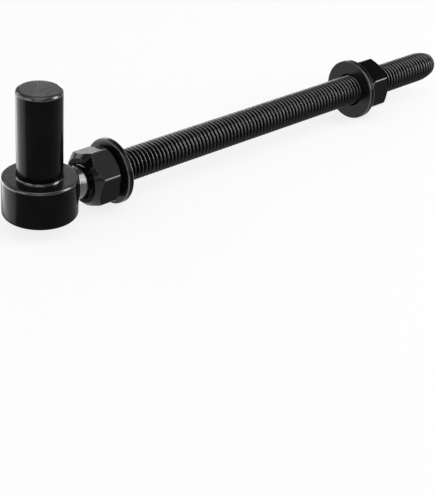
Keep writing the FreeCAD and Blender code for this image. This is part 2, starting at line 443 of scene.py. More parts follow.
class NodeDesk:
    """Builds node trees and the groups that several finishes share."""

    @staticmethod
    def group(name: str, inputs: Sequence[tuple[str, str, object]],
              outputs: Sequence[tuple[str, str]]) -> tuple[Tree, Node, Node]:
        """Starts a shader node group.

        Args:
            name: The group's name.
            inputs: (name, socket type, default value) of each input.
            outputs: (name, socket type) of each output.

        Returns:
            The group, its input node and its output node.
        """
        tree = bpy.data.node_groups.new(name, "ShaderNodeTree")
        for label, kind, value in inputs:
            socket = tree.interface.new_socket(name=label, in_out="INPUT", socket_type=kind)
            if value is not None:
                socket.default_value = value
        for label, kind in outputs:
            tree.interface.new_socket(name=label, in_out="OUTPUT", socket_type=kind)
        return tree, tree.nodes.new("NodeGroupInput"), tree.nodes.new("NodeGroupOutput")

    @staticmethod
    def math(tree: Tree, how: str, first: object, second: object = None) -> Socket:
        """Adds one Math node.

        Args:
            tree: The node tree.
            how: The operation.
            first: A socket or a number.
            second: A socket or a number, where the operation has two.

        Returns:
            The node's output.
        """
        node = tree.nodes.new("ShaderNodeMath")
        node.operation = how
        for index, value in enumerate((first, second)):
            if isinstance(value, Socket):
                tree.links.new(value, node.inputs[index])
            elif value is not None:
                node.inputs[index].default_value = value
        return node.outputs[0]

    @staticmethod
    def noise(tree: Tree, vector: Socket, scale: object, detail: float, rough: float = 0.5) -> Socket:
        """Adds one Noise Texture node.

        Args:
            tree: The node tree.
            vector: Where the pattern is read.
            scale: A socket or a number of features per metre.
            detail: How many finer layers it has.
            rough: How strong the finer layers are.

        Returns:
            The pattern from 0 to 1.
        """
        node = tree.nodes.new("ShaderNodeTexNoise")
        tree.links.new(vector, node.inputs["Vector"])
        if isinstance(scale, Socket):
            tree.links.new(scale, node.inputs["Scale"])
        else:
            node.inputs["Scale"].default_value = scale
        node.inputs["Detail"].default_value = detail
        node.inputs["Roughness"].default_value = rough
        return node.outputs["Fac"]

    @staticmethod
    def spread(tree: Tree, value: Socket, low: float, high: float,
               to_low: object = 0.0, to_high: object = 1.0) -> Socket:
        """Adds one Map Range node.

        Args:
            tree: The node tree.
            value: What is mapped.
            low: The value that becomes to_low.
            high: The value that becomes to_high.
            to_low: A socket or a number.
            to_high: A socket or a number.

        Returns:
            The mapped value.
        """
        node = tree.nodes.new("ShaderNodeMapRange")
        tree.links.new(value, node.inputs["Value"])
        node.inputs["From Min"].default_value = low
        node.inputs["From Max"].default_value = high
        for label, end in (("To Min", to_low), ("To Max", to_high)):
            if isinstance(end, Socket):
                tree.links.new(end, node.inputs[label])
            else:
                node.inputs[label].default_value = end
        return node.outputs["Result"]

    @staticmethod
    def product(tree: Tree, *factors: object) -> Socket:
        """Adds the Math nodes that multiply sockets and numbers.

        Args:
            tree: The node tree.
            factors: Two or more sockets or numbers.

        Returns:
            The product.
        """
        return reduce(lambda first, second: NodeDesk.math(tree, "MULTIPLY", first, second), factors)

    @staticmethod
    def split(tree: Tree, vector: Socket) -> Sequence[Socket]:
        """Adds one Separate XYZ node.

        Args:
            tree: The node tree.
            vector: What is taken apart.

        Returns:
            The three parts.
        """
        node = tree.nodes.new("ShaderNodeSeparateXYZ")
        tree.links.new(vector, node.inputs[0])
        return node.outputs[:]

    @staticmethod
    def span(tree: Tree, first: Socket, second: Socket) -> Socket:
        """Adds the nodes for a point's distance from a centre line.

        Args:
            tree: The node tree.
            first: How far the point lies off one way.
            second: How far it lies off square to that.

        Returns:
            The distance.
        """
        squares = [NodeDesk.product(tree, offset, offset) for offset in (first, second)]
        return NodeDesk.math(tree, "SQRT", NodeDesk.math(tree, "ADD", *squares))

    @staticmethod
    def mix(tree: Tree, share: Socket, first: Socket, second: Socket) -> Socket:
        """Adds one Mix node for colours.

        Args:
            tree: The node tree.
            share: How much of the second colour shows.
            first: The first colour.
            second: The second colour.

        Returns:
            The mixed colour.
        """
        node = tree.nodes.new("ShaderNodeMix")
        node.data_type = "RGBA"
        for index, value in ((0, share), (6, first), (7, second)):
            tree.links.new(value, node.inputs[index])
        return node.outputs[2]

    @staticmethod
    def bump(tree: Tree, height: Socket, depth: float) -> Node:
        """Adds one Bump node.

        Args:
            tree: The node tree.
            height: The pattern's height.
            depth: How deep the pattern goes, in millimetres.

        Returns:
            The node.
        """
        node = tree.nodes.new("ShaderNodeBump")
        node.inputs["Strength"].default_value = 1.0
        node.inputs["Distance"].default_value = depth * MM
        tree.links.new(height, node.inputs["Height"])
        return node

    @staticmethod
    def use(tree: Tree, build: Callable[[], Tree], vector: Socket, values: dict[str, object]) -> Node:
        """Places a shared group in a material and builds it on its first use.

        Args:
            tree: The material's node tree.
            build: The method that builds the group, which has the group's name.
            vector: Where the group's pattern is read.
            values: The group's other inputs by name.

        Returns:
            The group's node in the material.
        """
        node = tree.nodes.new("ShaderNodeGroup")
        node.node_tree = bpy.data.node_groups.get(build.__name__) or build()
        tree.links.new(vector, node.inputs["Vector"])
        for label, value in values.items():
            node.inputs[label].default_value = value
        return node

    @staticmethod
    def satin_cloud() -> Tree:
        """Builds the group for the black's slight change of colour and gloss, lighter where edges are rubbed.

        Returns:
            The node group.
        """
        tree, given, out = NodeDesk.group(
            "satin_cloud",
            (("Vector", "NodeSocketVector", None), ("Cloud Scale", "NodeSocketFloat", 90.0),
             ("Deep", "NodeSocketColor", (0.004, 0.004, 0.004, 1.0)),
             ("Pale", "NodeSocketColor", (0.01, 0.01, 0.01, 1.0)),
             ("Rubbed", "NodeSocketColor", (0.04, 0.04, 0.04, 1.0)),
             ("Rub", "NodeSocketFloat", 0.5),
             ("Gloss Low", "NodeSocketFloat", 0.25), ("Gloss High", "NodeSocketFloat", 0.35)),
            (("Color", "NodeSocketColor"), ("Roughness", "NodeSocketFloat")))
        where = given.outputs["Vector"]
        cloud = NodeDesk.noise(tree, where, scale=given.outputs["Cloud Scale"], detail=4.0)
        shade = NodeDesk.spread(tree, cloud, low=0.35, high=0.65)
        base = NodeDesk.mix(tree, shade, given.outputs["Deep"], given.outputs["Pale"])
        shape = tree.nodes.new("ShaderNodeNewGeometry")
        edge = NodeDesk.spread(tree, shape.outputs["Pointiness"], low=0.52, high=0.62)
        patch = NodeDesk.spread(tree, NodeDesk.noise(tree, where, scale=700.0, detail=3.0), low=0.4, high=0.7)
        rub = NodeDesk.product(tree, edge, patch, given.outputs["Rub"])
        tree.links.new(NodeDesk.mix(tree, rub, base, given.outputs["Rubbed"]), out.inputs["Color"])
        fine = NodeDesk.noise(tree, where, scale=260.0, detail=5.0)
        gloss = NodeDesk.spread(tree, fine, low=0.3, high=0.7,
                                to_low=given.outputs["Gloss Low"], to_high=given.outputs["Gloss High"])
        tree.links.new(gloss, out.inputs["Roughness"])
        return tree

    @staticmethod
    def skin_grain() -> Tree:
        """Builds the group for the coating's fine grain and slow swell.

        Returns:
            The node group.
        """
        tree, given, out = NodeDesk.group(
            "skin_grain",
            (("Vector", "NodeSocketVector", None), ("Grain Scale", "NodeSocketFloat", 3000.0),
             ("Swell Scale", "NodeSocketFloat", 250.0), ("Swell", "NodeSocketFloat", 2.0)),
            (("Height", "NodeSocketFloat"),))
        where = given.outputs["Vector"]
        grain = NodeDesk.noise(tree, where, scale=given.outputs["Grain Scale"], detail=3.0)
        swell = NodeDesk.noise(tree, where, scale=given.outputs["Swell Scale"], detail=2.0)
        swell = NodeDesk.product(tree, swell, given.outputs["Swell"])
        tree.links.new(NodeDesk.math(tree, "ADD", grain, swell), out.inputs["Height"])
        return tree

    @staticmethod
    def tool_rings() -> Tree:
        """Builds the group for the rings that a turning tool leaves, round the vector's Z axis.

        Returns:
            The node group.
        """
        tree, given, out = NodeDesk.group(
            "tool_rings",
            (("Vector", "NodeSocketVector", None), ("Rings", "NodeSocketFloat", 9000.0),
             ("Along Share", "NodeSocketFloat", 0.0), ("Wander", "NodeSocketFloat", 4.0)),
            (("Height", "NodeSocketFloat"),))
        where = given.outputs["Vector"]
        first, second, along = NodeDesk.split(tree, where)
        drift = NodeDesk.noise(tree, where, scale=150.0, detail=3.0)
        patch = NodeDesk.noise(tree, where, scale=320.0, detail=2.0)
        rise = NodeDesk.product(tree, along, given.outputs["Along Share"])
        reach = NodeDesk.math(tree, "ADD", rise, NodeDesk.span(tree, first, second))
        phase = NodeDesk.product(tree, reach, given.outputs["Rings"])
        wander = NodeDesk.product(tree, drift, given.outputs["Wander"])
        wave = NodeDesk.math(tree, "SINE", NodeDesk.math(tree, "ADD", phase, wander))
        tree.links.new(NodeDesk.product(tree, wave, patch), out.inputs["Height"])
        return tree

    @staticmethod
    def crest_wear_and_painted_sheen() -> Tree:
        """Builds the group for the coat on a thread's crests: patchy like real wear, and a painted sheen kept
        mostly to the rod's upper side, where the lamps catch it.

        Returns:
            The node group.
        """
        tree, given, out = NodeDesk.group(
            "crest_wear_and_painted_sheen", (("Vector", "NodeSocketVector", None), ("Strength", "NodeSocketFloat", 1.0)),
            (("Mask", "NodeSocketFloat"),))
        where = given.outputs["Vector"]
        along, aside, level = NodeDesk.split(tree, where)
        rise = NodeDesk.math(tree, "SUBTRACT", level, ROD_LEVEL * MM)
        taper = NodeDesk.spread(tree, along, low=TIP_START * MM, high=(TIP_START + TIP_REACH) * MM)
        drawn = NodeDesk.product(tree, taper, taper, TIP_DRAWN_IN * MM)
        radius = NodeDesk.math(tree, "ADD", NodeDesk.span(tree, aside, rise), drawn)
        crest = NodeDesk.spread(tree, radius, low=5.5 * MM, high=5.75 * MM)
        # Painted sheen: below the rod's centre line the crests keep only a tenth of the coat, so the upper
        # crests alone catch the lamps.
        upper = NodeDesk.spread(tree, rise, low=0.2 * MM, high=3.2 * MM, to_low=0.1)
        patch = NodeDesk.noise(tree, where, scale=400.0, detail=3.0)
        worn = NodeDesk.spread(tree, patch, low=0.3, high=0.6, to_low=0.75)
        mask = NodeDesk.product(tree, crest, upper, worn, given.outputs["Strength"])
        tree.links.new(mask, out.inputs["Mask"])
        return tree


@dataclass(frozen=True)
class BlackFinish:
    """A black coating on steel: its shades, its gloss, its grain, its tool marks and its crests' coat, which
    is patchy wear and a painted sheen on the rod's upper side.
    """

    name: str
    deep: float = 0.0035
    pale: float = 0.007
    rubbed: float = 0.03
    rub: float = 0.5
    gloss_low: float = 0.24
    gloss_high: float = 0.34
    specular: float = 0.5
    ior: float = 1.5
    crests: float = 0.0
    crest_gloss: float = 0.18
    crest_ior: float = 2.1
    grain: float = 0.01
    marks: Marks = Marks.NONE
    mark_depth: float = 0.02
    rings: float = 9000.0
    strokes: tuple[float, float, float] = (60.0, 900.0, 900.0)
    cool: tuple[float, float, float] = (1.0, 1.0, 1.03)
    warm: tuple[float, float, float] = (1.0, 0.98, 0.95)

    def material(self) -> bpy.types.Material:
        """The finish as a material, made once.

        Returns:
            The material.
        """
        found = bpy.data.materials.get(self.name)
        if found:
            return found
        material = bpy.data.materials.new(self.name)
        material.use_nodes = True
        tree = material.node_tree
        shader = next(node for node in tree.nodes if node.type == "BSDF_PRINCIPLED")
        place = tree.nodes.new("ShaderNodeTexCoord").outputs["Object"]
        constants = {"Specular IOR Level": self.specular, "IOR": self.ior, "Metallic": 0.0}
        # The crests' coat is a painted sheen on the rod's upper side, with patchy wear in it.
        if self.crests:
            constants |= {"Coat Roughness": self.crest_gloss, "Coat IOR": self.crest_ior}
            crests = NodeDesk.use(tree, NodeDesk.crest_wear_and_painted_sheen, place, {"Strength": self.crests})
            tree.links.new(crests.outputs["Mask"], shader.inputs["Coat Weight"])
        for label, value in constants.items():
            shader.inputs[label].default_value = value
        cloud = NodeDesk.use(tree, NodeDesk.satin_cloud, place, {
            "Deep": self.tinted(self.deep, self.cool), "Pale": self.tinted(self.pale, self.cool),
            "Rubbed": self.tinted(self.rubbed, self.warm), "Rub": self.rub,
            "Gloss Low": self.gloss_low, "Gloss High": self.gloss_high})
        tree.links.new(cloud.outputs["Color"], shader.inputs["Base Color"])
        tree.links.new(cloud.outputs["Roughness"], shader.inputs["Roughness"])
        grain = NodeDesk.use(tree, NodeDesk.skin_grain, place, {})
        top = NodeDesk.bump(tree, grain.outputs["Height"], self.grain)
        if self.marks is not Marks.NONE:
            skin = top
            top = NodeDesk.bump(tree, self.mark_height(tree, place), self.mark_depth)
            tree.links.new(skin.outputs["Normal"], top.inputs["Normal"])
        tree.links.new(top.outputs["Normal"], shader.inputs["Normal"])
        return material

    @staticmethod
    def tinted(level: float, tint: tuple[float, float, float]) -> tuple[float, float, float, float]:
        """The grey of that level with the tint's cast."""
        return (level * tint[0], level * tint[1], level * tint[2], 1.0)

    def mark_height(self, tree: Tree, place: Socket) -> Socket:
        """Adds the pattern of the tool marks.

        Args:
            tree: The material's node tree.
            place: The piece's own coordinates.

        Returns:
            The pattern's height.
        """
        if self.marks is Marks.BRUSHED:
            stretched = tree.nodes.new("ShaderNodeMapping")
            stretched.inputs["Scale"].default_value = self.strokes
            tree.links.new(place, stretched.inputs["Vector"])
            return NodeDesk.noise(tree, stretched.outputs["Vector"], scale=4.0, detail=4.0)
        rings = NodeDesk.use(tree, NodeDesk.tool_rings, place, {
            "Rings": self.rings, "Along Share": 1.0 if self.marks is Marks.TURNED else 0.0})
        return rings.outputs["Height"]


@dataclass(frozen=True)
class Finishes:
    """Every finish of the hinge."""

    pin_wall: BlackFinish = BlackFinish(
        "black_turned_pin", deep=0.001, pale=0.0025, specular=0.05, gloss_low=0.17, gloss_high=0.23,
        marks=Marks.TURNED, mark_depth=0.004)
    pin_end: BlackFinish = BlackFinish(
        "black_faced_pin_end", deep=0.003, pale=0.006, specular=0.26, gloss_low=0.2, gloss_high=0.28,
        marks=Marks.FACED, mark_depth=0.022, rings=5200.0)
    collar_wall: BlackFinish = BlackFinish(
        "black_turned_collar", deep=0.001, pale=0.0025, specular=0.045, gloss_low=0.17, gloss_high=0.24,
        marks=Marks.TURNED, mark_depth=0.004)
    collar_top: BlackFinish = BlackFinish(
        "black_brushed_collar_top", deep=0.003, pale=0.006, specular=0.24, gloss_low=0.18, gloss_high=0.24,
        marks=Marks.BRUSHED, mark_depth=0.035)
    edge: BlackFinish = BlackFinish(
        "black_smooth_edge", deep=0.002, pale=0.005, ior=1.8, gloss_low=0.12, gloss_high=0.2, grain=0.006)
    # The thread's crests carry the painted sheen on the rod's upper side, with patchy wear in it.
    thread: BlackFinish = BlackFinish(
        "black_rolled_thread", deep=0.001, pale=0.003, specular=0.08, gloss_low=0.18, gloss_high=0.28,
        crests=1.0, grain=0.006)
    neck: BlackFinish = BlackFinish(
        "black_welded_neck", deep=0.001, pale=0.003, ior=1.9, gloss_low=0.12, gloss_high=0.2)
    nut: BlackFinish = BlackFinish(
        "black_nut", deep=0.001, pale=0.003, specular=0.05, gloss_low=0.12, gloss_high=0.18, grain=0.012)
    nut_cone: BlackFinish = BlackFinish(
        "black_nut_cone", deep=0.001, pale=0.003, specular=0.35, gloss_low=0.12, gloss_high=0.18, grain=0.012)
    washer: BlackFinish = BlackFinish(
        "black_washer", deep=0.003, pale=0.006, specular=0.35, gloss_low=0.2, gloss_high=0.28, grain=0.014)
    washer_rim: BlackFinish = BlackFinish(
        "black_washer_rim", deep=0.001, pale=0.003, specular=0.05, gloss_low=0.2, gloss_high=0.28,
        grain=0.014)


def dress(piece: Piece, body: str, node: str, finish: BlackFinish,
          others: Sequence[tuple[BlackFinish, PairTest]] = ()) -> None:
    """Gives a piece its finishes, its body and the solid that it stands for.

    Args:
        piece: The finished piece.
        body: The body it moves with.
        node: The solid that it replaces.
        finish: The finish of most of its faces.
        others: Further finishes, each with a test of a face's centre and normal.
    """
    piece.data.materials.clear()
    piece.data.materials.append(finish.material())
    for index, (other, test) in enumerate(others, start=1):
        piece.data.materials.append(other.material())
        for face in piece.data.polygons:
            if test(face.center, face.normal):
                face.material_index = index
    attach(piece, body)
    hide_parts(node)
    log.info("%s: %d faces", piece.name, len(piece.data.polygons))


@dataclass
class PinAndCollar:
    """The upright pin and the round collar that carries it."""

    finishes: Finishes
    pin_radius: float = 8.0
    pin_height: float = 32.0
    pin_round: float = 1.2
    end_depth: float = 0.01
    foot_radius: float = 8.4
    foot_height: float = 0.4
    foot_round: float = 0.3
    seat_depth: float = 0.6
    spigot_radius: float = 6.5
    spigot_bevel: float = 0.6
    play: float = 0.02
    collar_height: float = 14.5
    top_round: float = 0.85
    bottom_round: float = 1.3
    bore_round: float = 0.4
    side_hole_radius: float = 4.6
    side_hole_start: float = 3.0
    side_hole_end: float = 16.0
    side_hole_segments: int = 48
    segments: int = 144
    wall_lean: float = 0.08
    flat_lean: float = 0.99

    def build(self) -> list[Piece]:
        """Builds and dresses both pieces.

        Returns:
            The pin and the collar.
        """
        pin = self.pin()
        collar = self.collar()
        dress(pin, "pin_and_rod", "gudgeon_pin", self.finishes.pin_wall,
              ((self.finishes.edge, lambda centre, normal: centre.z > 0.0 and self.is_rounded(normal)),
               (self.finishes.pin_end,
                lambda centre, normal: centre.z / MM > self.pin_height - self.end_depth)))
        dress(collar, "pin_and_rod", "collar", self.finishes.collar_wall,
              ((self.finishes.edge, lambda centre, normal: self.is_rounded(normal)),
               (self.finishes.collar_top, lambda centre, normal: normal.z > self.flat_lean)))
        return [pin, collar]

    def is_rounded(self, normal: Vector) -> bool:
        """True for a face between the upright wall and the flat top."""
        return self.wall_lean < normal.z <= self.flat_lean

    def pin(self) -> Piece:
        """Turns the pin with its flared foot, its shoulder and its spigot.

        Returns:
            The finished pin.
        """
        bottom = -self.collar_height
        spigot = self.spigot_radius - self.play
        pin = Lathe.turn("pin_turned", Axis.PIN, (
            (bottom, spigot - self.spigot_bevel),
            (bottom + self.spigot_bevel, spigot),
            (-self.seat_depth, spigot),
            (-self.seat_depth, self.foot_radius),
            (0.0, self.foot_radius),
            (self.foot_height, self.pin_radius),
            (self.pin_height / 2, self.pin_radius),
            (self.pin_height, self.pin_radius)), self.segments)
        for height, rounding, steps in ((self.pin_height, self.pin_round, 8),
                                        (self.foot_height, self.foot_round, 4)):
            Bench.round_edges(pin, Lathe.ring_at(Axis.PIN, height, self.pin_radius), rounding, steps)
        Bench.shut()
        Bench.finish(pin)
        return pin

    def collar(self) -> Piece:
        """Turns the collar with its seat and bore, and drills its side hole.

        Returns:
            The finished collar.
        """
        bottom = -self.collar_height
        seat = self.foot_radius + self.play
        collar = Lathe.turn("collar_turned", Axis.PIN, (
            (0.0, seat),
            (0.0, COLLAR_RADIUS),
            (bottom, COLLAR_RADIUS),
            (bottom, self.spigot_radius),
            (-self.seat_depth, self.spigot_radius),
            (-self.seat_depth, seat)), self.segments, hollow=True)
        for height, radius, rounding, steps in ((0.0, COLLAR_RADIUS, self.top_round, 6),
                                                (bottom, COLLAR_RADIUS, self.bottom_round, 7),
                                                (bottom, self.spigot_radius, self.bore_round, 3)):
            Bench.round_edges(collar, Lathe.ring_at(Axis.PIN, height, radius), rounding, steps)
        Bench.shut()
        drill = Lathe.turn("drill", Axis.ROD, (
            (self.side_hole_start, self.side_hole_radius),
            (self.side_hole_end, self.side_hole_radius)), self.side_hole_segments)
        Bench.combine(collar, drill, "DIFFERENCE")
        Bench.finish(collar)
        return collar


@dataclass
class ThreadedRod:
    """The long rod: its stub in the collar, its neck with the weld bead, its thread and its rounded tip."""

    finishes: Finishes
    thread: Thread
    stub_radius: float = 4.5
    stub_start: float = 6.7
    neck_radius: float = 6.0
    neck_end: float = 17.25
    neck_bevel: float = 0.25
    neck_step: float = 0.2
    cope_start: float = 8.0
    cope_step: float = 0.3
    cope_sink: float = 0.05
    bead_radius: float = 1.2
    bead_rings: int = 7
    bead_step: float = 0.2
    form_height: float = 60.0
    form_segments: int = 360
    blank_overlap: float = 0.3
    thread_overlap: float = 0.5
    tip_end: float = 205.5
    tip_radius: float = 4.25
    tip_round: float = 0.6
    tip_steps: int = 8
    tip_draw: float = 0.68
    held_depth: float = 0.05
    segments: int = 96

    @property
    def bar_end(self) -> float:
        """Where the threaded bar ends before its tip is cut."""
        return TIP_START + TIP_REACH

    def build(self) -> list[Piece]:
        """Builds and dresses the rod.

        Returns:
            The rod, in a list.
        """
        rod = self.thread.body("rod_rolled", self.neck_end - self.thread_overlap, self.bar_end)
        self.narrow_tip(rod)
        Bench.combine(rod, self.blank(), "INTERSECT")
        Bench.combine(rod, self.neck(), "UNION")
        Bench.finish(rod, angle=50.0)
        dress(rod, "pin_and_rod", "threaded_rod", self.finishes.thread,
              ((self.finishes.neck, lambda centre, normal: centre.x / MM < self.neck_end + NEAR),))
        return [rod]

    def narrow_tip(self, rod: Piece) -> None:
        """Draws the thread in towards the tip, so that its roots follow the rounding.

        Args:
            rod: The threaded bar.
        """
        Bench.open(rod)
        Bench.pick_vertices(rod, lambda point: point.x / MM > self.bar_end - self.held_depth)
        bpy.ops.transform.resize(
            value=Axis.ROD.scale(self.tip_draw), center_override=Axis.ROD.place(self.bar_end),
            use_proportional_edit=True, proportional_edit_falloff="SHARP", proportional_size=TIP_REACH * MM)
        Bench.shut()

    def blank(self) -> Piece:
        """Turns the bar that the thread is cut to, with its rounded tip.

        Returns:
            The bar.
        """
        crest = self.thread.crest
        length = self.tip_end - TIP_START
        drop = crest - self.tip_radius
        sweep = (length ** 2 + drop ** 2) / (2 * drop)
        outline = [(self.neck_end - self.blank_overlap, crest)]
        for step in range(self.tip_steps + 1):
            past = length * step / self.tip_steps
            outline.append((TIP_START + past, crest - sweep + math.sqrt(sweep ** 2 - past ** 2)))
        bar = Lathe.turn("bar", Axis.ROD, outline, self.segments)
        Bench.round_edges(bar, Lathe.ring_at(Axis.ROD, self.tip_end, self.tip_radius), self.tip_round, 4)
        Bench.shut()
        return bar

    def neck(self) -> Piece:
        """Turns the stub and the neck, and lays the weld bead round the collar.

        Its rings start as flat circles side by side. Each is then pushed on to the collar's round wall, or
        as far off it as the bead stands there.

        Returns:
            The neck.
        """
        toe = self.neck_radius + self.bead_radius
        cope_end = self.cope_start + self.cope_step
        sunk = COLLAR_RADIUS - self.cope_sink
        outline = [(self.stub_start, self.stub_radius), (self.cope_start, self.stub_radius), (cope_end, toe)]
        wraps = [(self.cope_start, sunk), (cope_end, sunk)]
        for ring in range(self.bead_rings + 1):
            angle = ring * math.pi / 2 / self.bead_rings
            along = cope_end + self.cope_step + self.bead_step * ring
            outline.append((along, toe - self.bead_radius * math.sin(angle)))
            wraps.append((along, COLLAR_RADIUS + self.bead_radius * (1.0 - math.cos(angle))))
        outline += [(self.neck_end - self.neck_bevel, self.neck_radius),
                    (self.neck_end, self.neck_radius - self.neck_step)]
        neck = Lathe.turn("neck", Axis.ROD, outline, self.segments)
        Bench.shut()
        Bench.take(neck)
        Bench.settle()
        for along, radius in wraps:
            self.wrap(neck, along, radius)
        Bench.open(neck)
        Bench.close(neck)
        Bench.shut()
        return neck

    def wrap(self, neck: Piece, along: float, radius: float) -> None:
        """Pushes one ring of the neck on to an upright cylinder about the pin's centre line.

        Args:
            neck: The neck, with its place applied.
            along: Where the ring stands along the rod.
            radius: The cylinder's radius.
        """
        Bench.clear()
        bpy.ops.mesh.primitive_cylinder_add(vertices=self.form_segments, radius=radius * MM,
                                            depth=self.form_height * MM, end_fill_type="NOTHING")
        form = Bench.name(bpy.context.object, "form")
        Bench.open(neck)
        Bench.pick_vertices(neck, lambda point: abs(point.x / MM - along) < NEAR)
        bpy.ops.object.vertex_group_assign_new()
        Bench.shut()
        push = neck.modifiers.new("push", "SHRINKWRAP")
        push.wrap_method = "PROJECT"
        push.use_project_x = True
        push.use_positive_direction = True
        push.use_negative_direction = False
        push.target = form
        push.vertex_group = neck.vertex_groups.active.name
        bpy.ops.object.modifier_apply(modifier=push.name)
        neck.vertex_groups.clear()
        Bench.discard(form)


@dataclass
class ClampSet:
    """The nut and the washer on each side of the post."""

    finishes: Finishes
    thread: Thread
    across_flats: float = 19.0
    nut_height: float = 12.0
    face_radius: float = 8.2
    cone_reach: float = 3.4
    corner_round: float = 0.35
    rim_round: float = 0.14
    rim_bend: float = 0.2
    thread_clearance: float = 0.06
    tap_overrun: float = 1.5
    mouth_radius: float = 6.6
    sinker_radius: float = 5.1
    sinker_waist: float = 3.0
    sinker_overrun: float = 1.0
    sinker_segments: int = 96
    washer_radius: float = 12.0
    washer_bore: float = 6.5
    washer_thickness: float = 2.5
    rolled_rim: float = 0.5
    bore_round: float = 0.25
    inner_nut_start: float = 17.6
    inner_nut_turn: float = 12.0
    outer_nut_start: float = 158.3
    outer_nut_turn: float = -1.1
    segments: int = 144
    outside_reach: float = 7.5
    corner_reach: float = 10.5
    flat_lean: float = 0.08
    cone_lean: tuple[float, float] = (0.66, 0.75)
    end_lean: float = 0.97
    rim_reach: float = 11.9
    roll_reach: float = 11.0
    roll_lean: tuple[float, float] = (0.1, 0.95)

    def build(self) -> list[Piece]:
        """Builds and dresses both nuts and both washers.

        Returns:
            The four pieces.
        """
        pieces = []
        for side, start, turn in (("inner", self.inner_nut_start, self.inner_nut_turn),
                                  ("outer", self.outer_nut_start, self.outer_nut_turn)):
            nut = self.nut(f"{side}_nut_cut", start, turn)
            dress(nut, f"{side}_nut", f"{side}_nut", self.finishes.nut,
                  ((self.finishes.edge, self.on_nut_edge), (self.finishes.nut_cone, self.on_nut_cone)))
            pieces.append(nut)
        first = self.washer()
        second = self.copy_along(first, self.outer_nut_start - self.washer_thickness
                                 - self.inner_nut_start - self.nut_height)
        for washer, side in ((first, "inner"), (second, "outer")):
            Bench.name(washer, f"{side}_washer_pressed")
            dress(washer, f"{side}_washer", f"{side}_washer", self.finishes.washer,
                  ((self.finishes.washer_rim, self.on_washer_rim), (self.finishes.edge, self.on_washer_edge)))
            pieces.append(washer)
        return pieces

    def on_nut_edge(self, centre: Vector, normal: Vector) -> bool:
        """Picks the faces that round a nut's corners, the rims of its flats and its ends.

        Args:
            centre: The face's centre.
            normal: The way it faces.

        Returns:
            True for such a face.
        """
        reach, lean = Axis.ROD.radius(centre), abs(normal.x)
        if lean < self.flat_lean:
            return reach > self.corner_reach
        least, most = self.cone_lean
        return reach > self.outside_reach and (lean < least or most < lean < self.end_lean)

    def on_nut_cone(self, centre: Vector, normal: Vector) -> bool:
        """True for the faces of a nut's two cones."""
        least, most = self.cone_lean
        return Axis.ROD.radius(centre) > self.outside_reach and least <= abs(normal.x) <= most

    def on_washer_rim(self, centre: Vector, normal: Vector) -> bool:
        """True for the faces that stand outermost on a washer."""
        return Axis.ROD.radius(centre) > self.rim_reach

    def on_washer_edge(self, centre: Vector, normal: Vector) -> bool:
        """True for the faces that roll over from a washer's rim to its flats."""
        least, most = self.roll_lean
        return Axis.ROD.radius(centre) > self.roll_reach and least < abs(normal.x) < most

    def copy_along(self, piece: Piece, distance: float) -> Piece:
        """Copies a piece along the rod, with a mesh of its own.

        Args:
            piece: The piece to copy.
            distance: How far along the rod the copy goes.

        Returns:
            The copy, with its place in its mesh.
        """
        Bench.take(piece)
        bpy.ops.object.duplicate(linked=False)
        copy = bpy.context.object
        bpy.ops.transform.translate(value=(distance * MM, 0.0, 0.0))
        Bench.settle()
        return copy

    def nut(self, name: str, start: float, turn: float) -> Piece:
        """Cuts one nut from hexagon bar and taps it in step with the rod's thread.

        Args:
            name: The nut's name.
            start: Where it starts along the rod.
            turn: How far it is turned about the rod.

        Returns:
            The finished nut.
        """
        corner = self.across_flats / math.sqrt(3)
        end = start + self.nut_height
        Bench.clear()
        bpy.ops.mesh.primitive_cylinder_add(
            vertices=6, radius=corner * MM, depth=self.nut_height * MM,
            location=Axis.ROD.place((start + end) / 2), rotation=Axis.ROD.tilt)
        nut = Bench.name(bpy.context.object, name)
        Bench.settle()
        bpy.ops.object.mode_set(mode="EDIT")
        self.set_turn(nut, turn)
        Bench.round_edges(nut, lambda one, two: abs(one.x - two.x) / MM > self.nut_height / 2,
                          self.corner_round, 4)
        Bench.shut()
        reach, wide = self.cone_reach, self.face_radius + self.cone_reach
        cones = Lathe.turn("cones", Axis.ROD, (
            (start, self.face_radius), (start + reach, wide), (end - reach, wide), (end, self.face_radius)),
            self.segments)
        Bench.shut()
        Bench.combine(nut, cones, "INTERSECT")
        Bench.open(nut)
        Bench.close(nut)
        self.soften_scallops(nut)
        Bench.shut()
        tap = self.thread.body("tap", start - self.tap_overrun, end + self.tap_overrun, self.thread_clearance)
        Bench.combine(nut, tap, "DIFFERENCE")
        Bench.combine(nut, self.sinker(start, end), "DIFFERENCE")
        Bench.finish(nut, angle=28.0)
        return nut

    def sinker(self, start: float, end: float) -> Piece:
        """Turns the tool that bevels the thread's mouth at both ends of a nut.

        Args:
            start: Where the nut starts along the rod.
            end: Where it ends along the rod.

        Returns:
            The tool, in object mode.
        """
        sink = self.mouth_radius - self.sinker_radius
        tool = Lathe.turn("sinker", Axis.ROD, (
            (start - self.sinker_overrun, self.mouth_radius), (start, self.mouth_radius),
            (start + sink, self.sinker_radius), (start + sink, self.sinker_waist),
            (end - sink, self.sinker_waist), (end - sink, self.sinker_radius),
            (end, self.mouth_radius), (end + self.sinker_overrun, self.mouth_radius)), self.sinker_segments)
        Bench.shut()
        return tool

    @staticmethod
    def set_turn(nut: Piece, turn: float) -> None:
        """Turns the hexagon until a corner stands at the asked angle from straight up.

        Args:
            nut: The hexagon bar, in edit mode.
            turn: The corner's angle about the rod, right-handed about +X.
        """
        mesh = bmesh.from_edit_mesh(nut.data)
        corner = next(iter(mesh.verts)).co
        now = math.degrees(math.atan2(-corner.y, corner.z - ROD_LEVEL * MM))
        away = (turn - now) % 60.0
        bpy.ops.mesh.select_all(action="SELECT")
        bpy.ops.transform.rotate(value=-math.radians(away), orient_axis="X",
                                 center_override=Axis.ROD.place(0.0))

